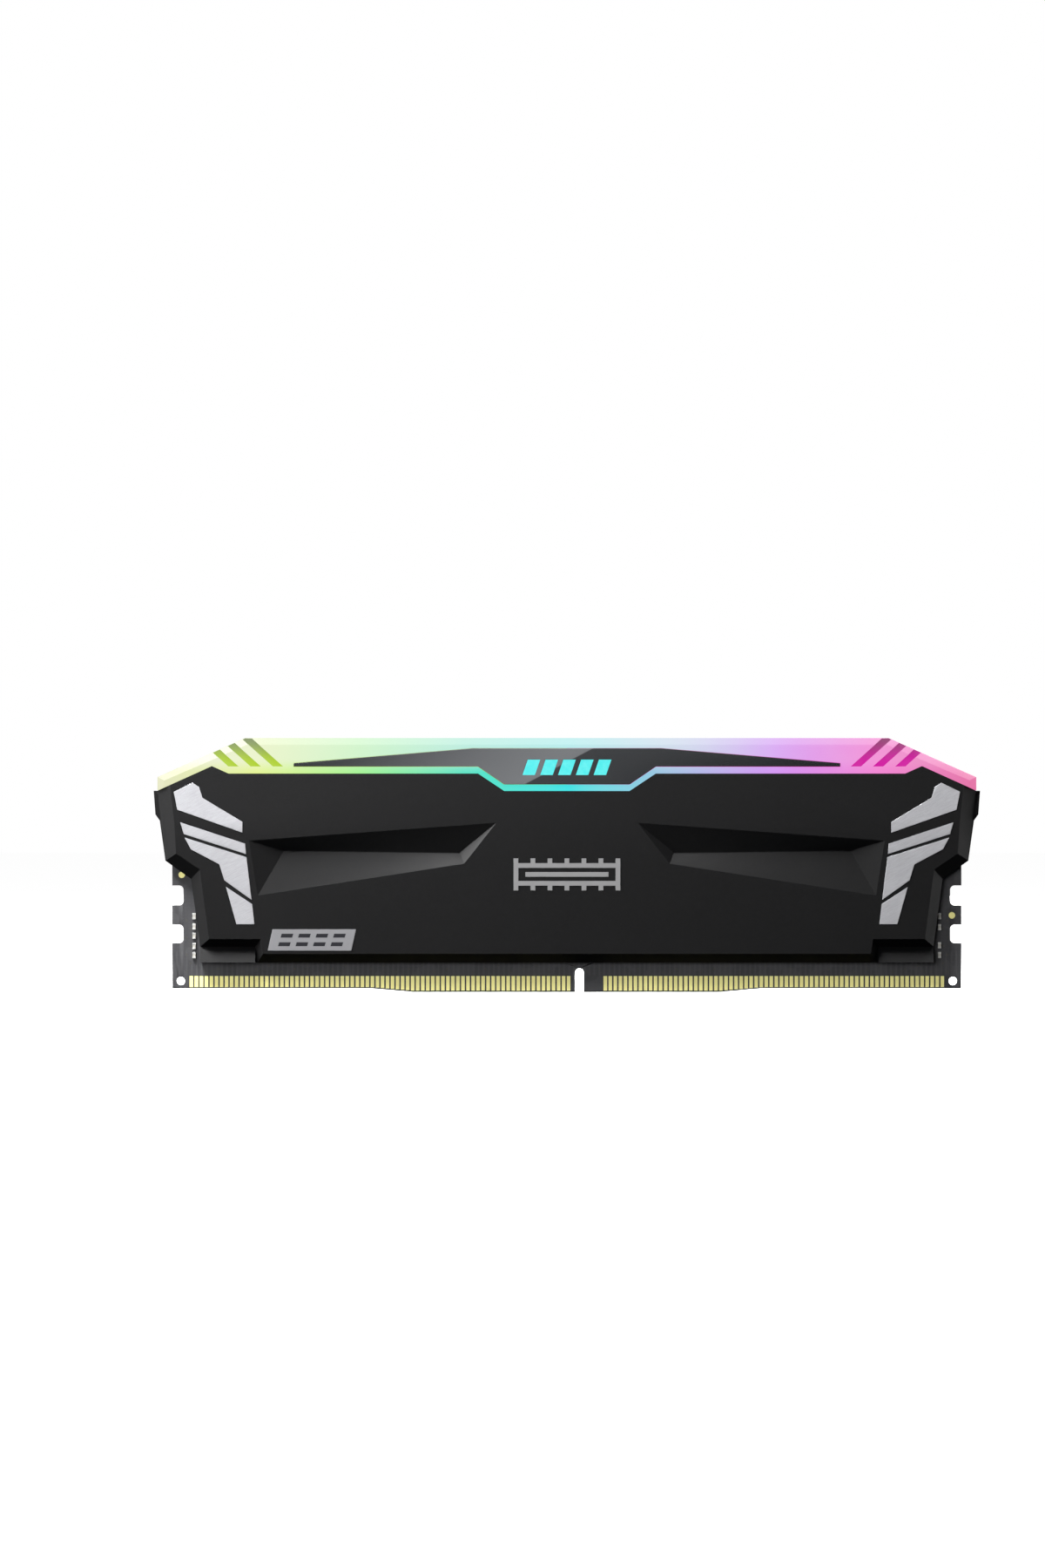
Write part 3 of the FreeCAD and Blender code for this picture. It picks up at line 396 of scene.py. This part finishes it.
def anodised_black(look):
    """Fine bead-blasted aluminium, black anodised: speckled, slightly cloudy, satin."""
    finish = Finish("anodised_black")
    grain = finish.noise(look.grain, 2.0)
    cloud = finish.noise(9 * MM, 4.0)
    handled = finish.noise(28 * MM, 2.0)
    tone = finish.mix(grain.ramp(0.35, 0.75), tuple(look.black), tuple(look.speckle))
    roughness = grain * 0.12 + cloud * 0.07 + handled * 0.05 + (look.roughness - 0.12)
    relief = finish.bump(grain, 0.012 * MM, 0.55)
    return finish.surface(Base_Color=tone, Roughness=roughness, Normal=relief, Specular_IOR_Level=0.25)


# Lemon, yellow, green, turquoise, cyan, sky, violet, pink and rose, at even steps from end to end.
BAR_HUES = ("eeeecc", "eeff99", "aaff99", "55eecc", "33eeee", "aaccee", "dd99ff", "ff88dd", "ee77aa")
LIME, MAGENTA = "bbdd33", "dd11aa"
OLIVE, PLUM = "889966", "994477"
WHITE = (1.0, 1.0, 1.0)


def lit_diffuser(look):
    """Milky plastic lit from inside: hue runs along the bar, paler towards its top, deeper in the grooves,
    with a painted highlight whitening its top edge.
    """
    finish = Finish("lit_diffuser")
    along = (finish.x - CAD_LOW.x) / (CAD_HIGH.x - CAD_LOW.x)
    last = len(BAR_HUES) - 1
    line = finish.colour_along(along, [(n / last, linear(code)) for n, code in enumerate(BAR_HUES)])
    whiteness = 0.10 + (1 - along.ramp(0.60, 0.82)) * 0.40
    pale = finish.mix(whiteness, line, WHITE)
    seam = SPREADER_HIGH.z - 1.25 * MM
    lit = finish.mix(finish.z.ramp(seam, seam + 2.6 * MM), line, pale)
    # Painted highlight: the top edge of the bar is whitened a little.
    painted_top_highlight = finish.z.ramp(BAR_HIGH.z - 1.7 * MM, BAR_HIGH.z - 0.5 * MM)
    lit = finish.mix(painted_top_highlight * 0.10, lit, WHITE)
    right_half = along.above(0.5)
    groove_foot = finish.mix(right_half, linear(LIME), linear(MAGENTA))
    groove_top = finish.mix(right_half, linear(OLIVE), linear(PLUM))
    groove = finish.mix(finish.z.ramp(seam + 1.6 * MM, seam + 6.2 * MM), groove_foot, groove_top)
    sunk = abs(finish.y).below(BAR_HIGH.y - 0.06 * MM) * abs(finish.y).above(BAR_HIGH.y - 0.83 * MM)
    facing = finish.normal_y()
    between_ends = abs(finish.x).below(BAR_HIGH.x - 7 * MM)
    in_groove = sunk * between_ends * (facing.above(0.9) + facing.below(0.35))
    lit = finish.mix(in_groove, lit, groove)
    frost = finish.noise(0.25 * MM, 3.0)
    patchy = finish.noise(6 * MM, 2.0)
    lit = finish.mix(patchy.ramp(0.3, 0.9) * 0.05, lit, WHITE)
    return finish.surface(Base_Color=tuple(look.body_tone), Roughness=0.34 + frost * 0.18, Emission_Color=lit,
                          Emission_Strength=look.glow, Normal=finish.bump(frost, 0.01 * MM, 0.3),
                          Specular_IOR_Level=0.06)


def smoked_panel(look):
    """Glossy smoked panel with a painted reflection: lighter on its left, fading out from a slanted line."""
    finish = Finish("smoked_panel")
    middle = (PLATE_LOW.z + PLATE_HIGH.z) / 2
    # Painted reflection of a softbox: lighter on the left up to a slanted edge, faint and fading out on the
    # right.
    slanted = finish.x - (finish.z - middle) * 1.9
    left_of_line = 1 - slanted.ramp(-1.6 * MM, -1.2 * MM)
    fade = slanted.ramp(-52 * MM, 4 * MM)
    painted_sweep = left_of_line * (fade * 0.94 + 0.02) + (1 - left_of_line) * (1 - slanted.ramp(0, 46 * MM)) * 0.14
    streak = finish.noise(2.5 * MM, 3.0, stretch=(6, 1, 1))
    tone = finish.mix(painted_sweep + streak * 0.05, tuple(look.smoke), tuple(look.painted_reflection_colour))
    micro = finish.noise(0.5 * MM, 2.0)
    return finish.surface(Base_Color=tone, Roughness=0.20 + micro * 0.06, Coat_Weight=0.3,
                          Coat_Roughness=0.10, Normal=finish.bump(streak, 0.004 * MM, 0.2))


def lit_window(look):
    """Clear window lit from behind, a little brighter in soft patches."""
    finish = Finish("lit_window")
    flow = finish.noise(0.8 * MM, 2.0)
    tone = finish.mix(flow.ramp(0.2, 0.9) * 0.35, tuple(look.window), linear("88eeee"))
    return finish.surface(Base_Color=(0.03, 0.10, 0.10), Emission_Color=tone, Emission_Strength=0.92,
                          Roughness=0.2 + flow * 0.1)


def brushed_silver(look):
    """Silver foil with a fine slanted brushing and soft tone changes."""
    finish = Finish("brushed_silver")
    turned = finish.node("ShaderNodeVectorRotate", {"rotation_type": "Y_AXIS"},
                         {"Vector": finish.place, "Angle": math.radians(28)})
    stretched = finish.node("ShaderNodeVectorMath", {"operation": "DIVIDE"},
                            {0: turned.outputs[0], 1: (14, 1, 1)})
    brushed = Signal(finish, finish.node("ShaderNodeTexNoise", sockets={
        "Vector": stretched.outputs[0], "Scale": 1 / (0.10 * MM), "Detail": 3.0}).outputs["Fac"])
    speckle = finish.noise(0.12 * MM, 2.0)
    cloud = finish.noise(5 * MM, 2.0)
    silver = Vector(look.silver)
    shade = brushed * 0.5 + speckle * 0.3 + cloud * 0.2
    tone = finish.mix(shade.ramp(0.3, 0.7), tuple(silver * 0.86), tuple(silver * 1.12))
    return finish.surface(Base_Color=tone, Metallic=0.35, Roughness=0.36 + brushed * 0.14,
                          Normal=finish.bump(brushed, 0.004 * MM, 0.4))


def satin_foil(name, colour, metallic=0.3):
    """Satin foil or ink with a faint grain."""
    finish = Finish(name)
    grain = finish.noise(0.14 * MM, 3.0)
    cloud = finish.noise(3 * MM, 2.0)
    colour = Vector(colour)
    tone = finish.mix(grain * 0.6 + cloud * 0.4, tuple(colour * 0.86), tuple(colour * 1.12))
    return finish.surface(Base_Color=tone, Metallic=metallic, Roughness=0.38 + grain * 0.16,
                          Normal=finish.bump(grain, 0.003 * MM, 0.3))


def dashed_foil(look):
    """Badge foil with four slanted pairs of dark dashes, the same way round on both sides."""
    finish = satin_foil("badge_foil", look.badge)
    low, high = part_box("badge_front")
    outward = finish.node("ShaderNodeMath", {"operation": "SIGN"}, {0: finish.y})
    along = -1 * Signal(finish, outward.outputs[0]) * finish.x - (low.x + high.x) / 2
    up = finish.z - (low.z + high.z) / 2
    straightened = along - up * 0.30
    cell = (straightened + 50 * DASH_PITCH) % DASH_PITCH
    dash = abs(cell - DASH_PITCH / 2).below(0.98 * MM) * abs(straightened).below(2 * DASH_PITCH)
    row = abs(abs(up) - 0.72 * MM).below(0.33 * MM)
    foil = finish.shader.inputs["Base Color"].links[0].from_socket
    return finish.surface(Base_Color=finish.mix(dash * row, foil, tuple(look.badge_dash)))


def ruled_label(look):
    """Blank silver label with a thin ruled border and two divisions."""
    finish = satin_foil("label_paper", look.label, 0.1)
    low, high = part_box("rating_label")
    half_x = (high.x - low.x) / 2 - 0.8 * MM
    half_z = (high.z - low.z) / 2 - 0.8 * MM
    across = abs(finish.x - (low.x + high.x) / 2)
    up = abs(finish.z - (low.z + high.z) / 2)
    inside = across.below(half_x) * up.below(half_z)
    line = 0.18 * MM
    ruled = across.above(half_x - line) + up.above(half_z - line) + abs(across - half_x / 3).below(line / 2)
    paper = finish.shader.inputs["Base Color"].links[0].from_socket
    return finish.surface(Base_Color=finish.mix(ruled.ramp(0, 1) * inside, paper, tuple(look.badge_dash)))


def solder_mask(look):
    """Black solder mask: faint glass weave, raised tracks up from the contacts, bare laminate edges."""
    finish = Finish("solder_mask")
    on_face = finish.normal_y().above(0.7)
    pitch = look.contact_pitch
    across = abs((finish.x + 100 * pitch) % pitch - pitch / 2)
    track = (1 - across.ramp(0.13 * MM, 0.19 * MM)) * finish.z.ramp(2.6 * MM, 2.9 * MM)
    track = track * (1 - finish.z.ramp(6.5 * MM, 7.0 * MM))
    weave_x = abs((finish.x + 1) % (0.62 * MM) - 0.31 * MM) / (0.31 * MM)
    weave_z = abs((finish.z + 1) % (0.62 * MM) - 0.31 * MM) / (0.31 * MM)
    weave = weave_x * weave_z
    pour = finish.noise(3.2 * MM, 1.0).ramp(0.50, 0.53)
    speck = finish.noise(0.2 * MM, 3.0)
    mask = Vector(look.mask)
    tone = finish.mix(weave * 0.35 + speck * 0.25, tuple(mask), tuple(mask * 1.45))
    tone = finish.mix(pour * 0.35, tone, tuple(look.track))
    tone = finish.mix(track * 0.55, tone, tuple(look.track))
    layers = (finish.y + 1) % (0.21 * MM) / (0.21 * MM)
    laminate = finish.mix(layers.ramp(0.35, 0.65), (0.012, 0.013, 0.011), (0.030, 0.030, 0.022))
    tone = finish.mix(on_face, laminate, tone)
    height = track * 0.7 + pour * 0.5 + weave * 0.12 + speck * 0.06
    return finish.surface(Base_Color=tone, Roughness=0.36 + speck * 0.14,
                          Normal=finish.bump(height, 0.03 * MM, 0.6))


def plated_gold(look):
    """Hard gold plating with light wipe marks along the way the socket slides."""
    finish = Finish("plated_gold")
    wipe = finish.noise(0.09 * MM, 3.0, stretch=(1, 1, 16))
    tint = finish.noise(1.7 * MM, 2.0)
    gold = Vector(look.gold)
    tone = finish.mix(wipe * 0.6 + tint * 0.4, tuple(gold * 0.80), tuple(gold * 1.22))
    return finish.surface(Base_Color=tone, Metallic=0.12, Roughness=0.30 + wipe * 0.16,
                          Normal=finish.bump(wipe, 0.004 * MM, 0.35))


def moulded(name, dark, light, roughness=0.55, size=0.12, metallic=0.0):
    """Moulded, pressed or fired body with a fine grain and soft mottling."""
    finish = Finish(name)
    grain = finish.noise(size * MM, 3.0)
    mottle = finish.cells(size * 6 * MM)
    tone = finish.mix(grain * 0.7 + mottle * 0.3, linear(dark), linear(light))
    return finish.surface(Base_Color=tone, Roughness=roughness + grain * 0.12, Metallic=metallic,
                          Normal=finish.bump(grain + mottle * 0.3, 0.01 * MM, 0.5))


# ---------------------------------------------------------------- operators

class MODULE_OT_spreaders(Operator):
    """Black anodised finish and softened edges for both heat spreaders"""
    bl_idname = "module.spreaders"
    bl_label = "Heat spreaders"

    def execute(self, context):
        look = context.scene.module_look.spreader
        names = ("spreader_front", "spreader_back")
        dress(names, anodised_black(look))
        soften(names, look.edge_radius)
        return {"FINISHED"}


class MODULE_OT_light_bar(Operator):
    """Lit diffuser, smoked nameplates and their glowing windows"""
    bl_idname = "module.light_bar"
    bl_label = "Light bar and nameplates"

    def execute(self, context):
        look = context.scene.module_look.bar
        dress(("light_bar",), lit_diffuser(look))
        soften(("light_bar",), 0.05 * MM, 2, 25)
        plates = ("nameplate_front", "nameplate_back")
        dress(plates, smoked_panel(look))
        soften(plates, 0.09 * MM)
        windows = ("mark_windows_front", "mark_windows_back")
        dress(windows, lit_window(look))
        return {"FINISHED"}


class MODULE_OT_silver_trim(Operator):
    """Silver slips in the wings and the dashed badges"""
    bl_idname = "module.silver_trim"
    bl_label = "Silver trim"

    def execute(self, context):
        look = context.scene.module_look.trim
        slips = [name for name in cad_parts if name.startswith("silver_slips")]
        dress(slips, brushed_silver(look))
        soften(slips, 0.05 * MM)
        badges = ("badge_front", "badge_back")
        dress(badges, dashed_foil(look))
        soften(badges, 0.03 * MM)
        return {"FINISHED"}


class MODULE_OT_prints(Operator):
    """Printed emblem on the front and the blank rating label on the back"""
    bl_idname = "module.prints"
    bl_label = "Emblem and label"

    def execute(self, context):
        look = context.scene.module_look.trim
        dress(("emblem",), satin_foil("emblem_ink", look.ink, 0.0))
        dress(("rating_label",), ruled_label(look))
        return {"FINISHED"}


class MODULE_OT_board(Operator):
    """Solder mask, gold contacts, ground pads and plated vias"""
    bl_idname = "module.board"
    bl_label = "Circuit board"

    def execute(self, context):
        look = context.scene.module_look.board
        dress(("circuit_board",), solder_mask(look))
        soften(("circuit_board",), 0.05 * MM, angle=40)
        gold = plated_gold(look)
        dress([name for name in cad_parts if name.startswith("contacts")] + ["ground_pads"], gold)
        self.add_vias(moulded("via_tin", "3a3a36", "5c5b54", 0.35, metallic=0.3))
        return {"FINISHED"}

    def add_vias(self, tin):
        """Small plated rings along the bare stretches of the board."""
        mesh = bmesh.new()
        proud = 0.015 * MM
        end = BOARD_HIGH.x
        for side in (FRONT, BACK):
            face = BOARD_HIGH.y * side
            span = sorted((face, face + side * proud))
            for n in range(58):
                x = -end + 5.6 * MM + n * 2.15 * MM
                z = (3.35 + 0.55 * (n % 3)) * MM
                disc_faces(mesh, x, z, 0.09 * MM, 0.17 * MM, span[0], span[1], 10)
            for hand in (-1, 1):
                for n in range(7):
                    x = hand * (end - (2.4 + 0.7 * (n % 2)) * MM)
                    z = (3.4 + 1.45 * n) * MM
                    disc_faces(mesh, x, z, 0.10 * MM, 0.19 * MM, span[0], span[1], 10)
        new_piece("board_vias", mesh, tin)


class MODULE_OT_components(Operator):
    """Memory packages and every small part soldered on the board, with tinned ends where they show"""
    bl_idname = "module.components"
    bl_label = "Components"

    def execute(self, context):
        packages = [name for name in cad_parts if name.startswith("dram_chip")]
        packages += ["power_controller", "configuration_hub", "light_controller"]
        dress(packages, moulded("package_epoxy", "1b1b1d", "2b2b2e", 0.5))
        soften(packages, 0.06 * MM)
        dress(("power_inductors",), moulded("ferrite", "4a4a4c", "636365", 0.6))
        soften(("power_inductors",), 0.12 * MM)
        ceramic = moulded("ceramic", "7d6545", "a58a62", 0.45)
        capacitors = ("supply_capacitors", "chip_capacitors", "back_capacitors")
        edge_parts = ("edge_components_left", "edge_components_right")
        dress(capacitors, ceramic)
        dress(edge_parts, moulded("pale_ceramic", "8f8d86", "b4b2aa", 0.45))
        dress(("chip_resistors",), moulded("resistor", "17171a", "2a2a2e", 0.4))
        lens = moulded("emitter_lens", "d8d6b8", "fbfae6", 0.2)
        lens.surface(Emission_Color=linear("f4f2d6"), Emission_Strength=0.6)
        dress(("light_emitters",), lens)
        tin = moulded("tinned_end", "a3a3a1", "cbcbc8", 0.35, metallic=0.35)
        shown = capacitors + edge_parts + ("chip_resistors",)
        for name in shown:
            self.add_caps(name, tin)
        return {"FINISHED"}

    def add_caps(self, name, tin):
        """Tinned caps over both ends of each small part, along its longer side."""
        mesh = bmesh.new()
        skin = 0.02 * MM
        for low, high in separate_boxes(name):
            upright = high.z - low.z > high.x - low.x
            axis = 2 if upright else 0
            share = (high[axis] - low[axis]) * 0.28
            grown_low = low - Vector((skin, skin, skin))
            grown_high = high + Vector((skin, skin, skin))
            if low.y < 0:
                grown_high.y = high.y
            else:
                grown_low.y = low.y
            first_high = grown_high.copy()
            first_high[axis] = low[axis] + share
            second_low = grown_low.copy()
            second_low[axis] = high[axis] - share
            box_faces(mesh, grown_low, first_high)
            box_faces(mesh, second_low, grown_high)
        new_piece(name.replace("components", "part") + "_caps", mesh, tin, 0.03 * MM)


class MODULE_OT_thermal_pads(Operator):
    """Soft grey silicone pads between the board and the spreaders"""
    bl_idname = "module.thermal_pads"
    bl_label = "Thermal pads"

    def execute(self, context):
        pads = [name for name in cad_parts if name.startswith("thermal_pad")]
        dress(pads, moulded("thermal_silicone", "7d8285", "9ba1a4", 0.65, 0.3))
        soften(pads, 0.08 * MM)
        return {"FINISHED"}


class MODULE_OT_stage(Operator):
    """Pale floor, soft studio light and a level camera in front of the module"""
    bl_idname = "module.stage"
    bl_label = "Stage"

    def execute(self, context):
        look = context.scene.module_look.stage
        context.scene.view_settings.view_transform = "Standard"
        context.scene.view_settings.look = "None"
        self.make_floor(look)
        self.make_world(context.scene, look)
        middle = Vector((0, 0, (CAD_LOW.z + CAD_HIGH.z) / 2))
        for hand, side in ((1, "front"), (-1, "rear")):
            places = (
                ("key", (-0.15, -0.080, 0.24), (0.16, 0.08), look.key_power),
                ("panel", (-0.40, -1.15, 0.17), (0.75, 0.45), look.fill_power),
                ("side", (-0.26, -0.045, 0.06), (0.10, 0.10), look.side_power),
            )
            for name, (x, y, z), size, power in places:
                self.make_light(f"{side}_{name}", Vector((x * hand, y * hand, z)), middle, size, power)
        self.make_camera(context.scene, look)
        return {"FINISHED"}

    def make_floor(self, look):
        finish = Finish("pale_floor")
        mottle = finish.noise(60 * MM, 3.0)
        pale = Vector(look.floor)
        finish.surface(Base_Color=finish.mix(mottle, tuple(pale * 0.99), tuple(pale)), Roughness=0.85,
                       Specular_IOR_Level=0.1, Emission_Color=WHITE, Emission_Strength=0.9)
        mesh = bmesh.new()
        reach = 3.0
        corners = [mesh.verts.new((x, y, CAD_LOW.z - 0.02 * MM)) for x, y in
                   ((-reach, -reach), (reach, -reach), (reach, reach), (-reach, reach))]
        mesh.faces.new(corners)
        data = bpy.data.meshes.new("floor")
        mesh.to_mesh(data)
        mesh.free()
        floor = bpy.data.objects.new("floor", data)
        bpy.context.scene.collection.objects.link(floor)
        data.materials.append(finish.material)
        floor.visible_diffuse = False
        floor.visible_glossy = False

    def make_world(self, scene, look):
        """Plain white behind, and a soft light that comes only from above the horizon."""
        world = bpy.data.worlds.new("studio")
        scene.world = world
        world.use_nodes = True
        tree = world.node_tree
        tree.nodes.clear()
        output = tree.nodes.new("ShaderNodeOutputWorld")
        background = tree.nodes.new("ShaderNodeBackground")
        background.inputs["Color"].default_value = (1.0, 1.0, 1.0, 1.0)
        coordinates = tree.nodes.new("ShaderNodeTexCoord")
        axes = tree.nodes.new("ShaderNodeSeparateXYZ")
        sky = tree.nodes.new("ShaderNodeMapRange")
        sky.inputs["From Min"].default_value = -0.05
        sky.inputs["From Max"].default_value = 0.9
        sky.inputs["To Max"].default_value = look.sky
        seen = tree.nodes.new("ShaderNodeLightPath")
        choose = tree.nodes.new("ShaderNodeMix")
        choose.inputs["B"].default_value = look.backdrop
        tree.links.new(coordinates.outputs["Generated"], axes.inputs[0])
        tree.links.new(axes.outputs["Z"], sky.inputs["Value"])
        tree.links.new(sky.outputs["Result"], choose.inputs["A"])
        tree.links.new(seen.outputs["Is Camera Ray"], choose.inputs["Factor"])
        tree.links.new(choose.outputs["Result"], background.inputs["Strength"])
        tree.links.new(background.outputs[0], output.inputs["Surface"])

    def make_light(self, name, place, target, size, power):
        """One soft light; the large panels leave no glare on the black faces."""
        data = bpy.data.lights.new(name, "AREA")
        data.shape = "RECTANGLE"
        data.size, data.size_y = size
        data.energy = power
        light = bpy.data.objects.new(name, data)
        light.location = place
        light.rotation_euler = (target - place).to_track_quat("-Z", "Y").to_euler()
        light.visible_camera = False
        light.visible_glossy = not name.endswith("panel")
        bpy.context.scene.collection.objects.link(light)

    def make_camera(self, scene, look):
        data = bpy.data.cameras.new("camera")
        data.sensor_width = 36.0
        data.lens = look.lens
        data.clip_start = 0.01
        data.clip_end = 20.0
        camera = bpy.data.objects.new("camera", data)
        distance = look.scale * look.lens / data.sensor_width
        camera.location = (look.aim_x, SPREADER_LOW.y - distance, look.aim_z)
        camera.rotation_euler = (math.radians(90), 0, 0)
        scene.collection.objects.link(camera)
        scene.camera = camera


class MODULE_PT_sidebar(Panel):
    """Lists the module's settings and the buttons that dress its pieces"""
    bl_idname = "MODULE_PT_sidebar"
    bl_label = "Memory Module"
    bl_space_type = "VIEW_3D"
    bl_region_type = "UI"
    bl_category = "Memory Module"

    def draw(self, context):
        look = context.scene.module_look
        for group in (look.spreader, look.bar, look.board, look.trim, look.stage):
            box = self.layout.box()
            for name in group.bl_rna.properties.keys():
                if name not in ("rna_type", "name"):
                    box.prop(group, name)
        for operator in OPERATORS:
            self.layout.operator(operator.bl_idname)


OPERATORS = (
    MODULE_OT_stage,
    MODULE_OT_spreaders,
    MODULE_OT_light_bar,
    MODULE_OT_silver_trim,
    MODULE_OT_prints,
    MODULE_OT_board,
    MODULE_OT_components,
    MODULE_OT_thermal_pads,
)
GROUPS = (SpreaderLook, BarLook, BoardLook, TrimLook, StageLook, ModuleLook)


def register():
    for cls in GROUPS + OPERATORS + (MODULE_PT_sidebar,):
        bpy.utils.register_class(cls)
    bpy.types.Scene.module_look = PointerProperty(type=ModuleLook)


def unregister():
    del bpy.types.Scene.module_look
    for cls in reversed(GROUPS + OPERATORS + (MODULE_PT_sidebar,)):
        bpy.utils.unregister_class(cls)


def main():
    """Register, dress and build everything in order."""
    register()
    bpy.ops.module.stage()
    bpy.ops.module.spreaders()
    bpy.ops.module.light_bar()
    bpy.ops.module.silver_trim()
    bpy.ops.module.prints()
    bpy.ops.module.board()
    bpy.ops.module.components()
    bpy.ops.module.thermal_pads()


if __name__ == "__main__":
    main()
